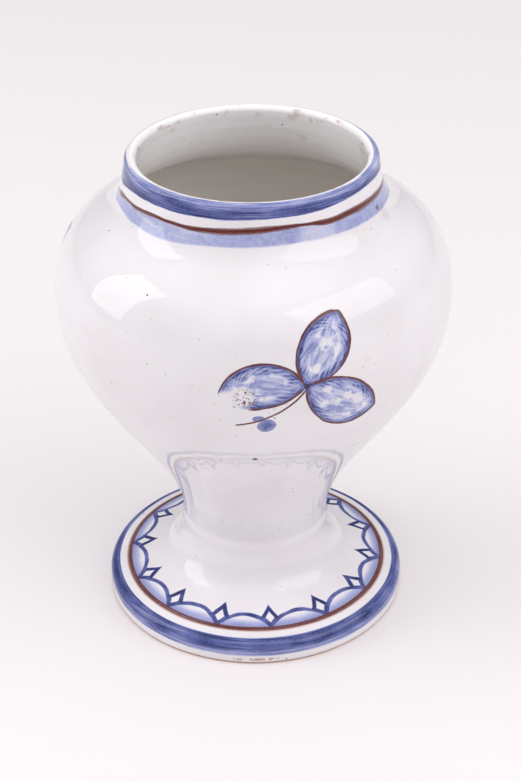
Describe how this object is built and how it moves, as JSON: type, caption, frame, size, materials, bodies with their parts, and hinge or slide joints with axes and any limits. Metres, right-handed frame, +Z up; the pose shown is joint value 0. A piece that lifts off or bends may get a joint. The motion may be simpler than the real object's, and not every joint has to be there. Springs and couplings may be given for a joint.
{
  "type": "apothecary jar",
  "caption": "Open baluster apothecary jar in tin-glazed earthenware: short wide collar, round shoulder, narrow waist and hollow spreading foot.",
  "frame": {"origin": "centre of the foot's resting ring, on the surface that the jar stands on", "axes": "+Z up along the turning axis; the painted leaf sprig faces -Y"},
  "size_m": [0.1802, 0.1802, 0.229],
  "materials": {
    "foot_glaze": "glossy white tin glaze with a cobalt edge band, a manganese circle and painted arches",
    "bowl_glaze": "glossy white tin glaze with painted leaf sprigs",
    "shoulder_glaze": "glossy white tin glaze",
    "collar_glaze": "glossy tin glaze with a cobalt band, a manganese line and a pale blue wash",
    "fired_slip": "matt unglazed red clay"
  },
  "bodies": {
    "root": {"foot": "foot_glaze", "waist_slip_joint": "fired_slip", "bowl": "bowl_glaze", "belly_slip_joint": "fired_slip", "shoulder": "shoulder_glaze", "neck_slip_joint": "fired_slip", "neck_collar": "collar_glaze"}
  },
  "joints": []
}
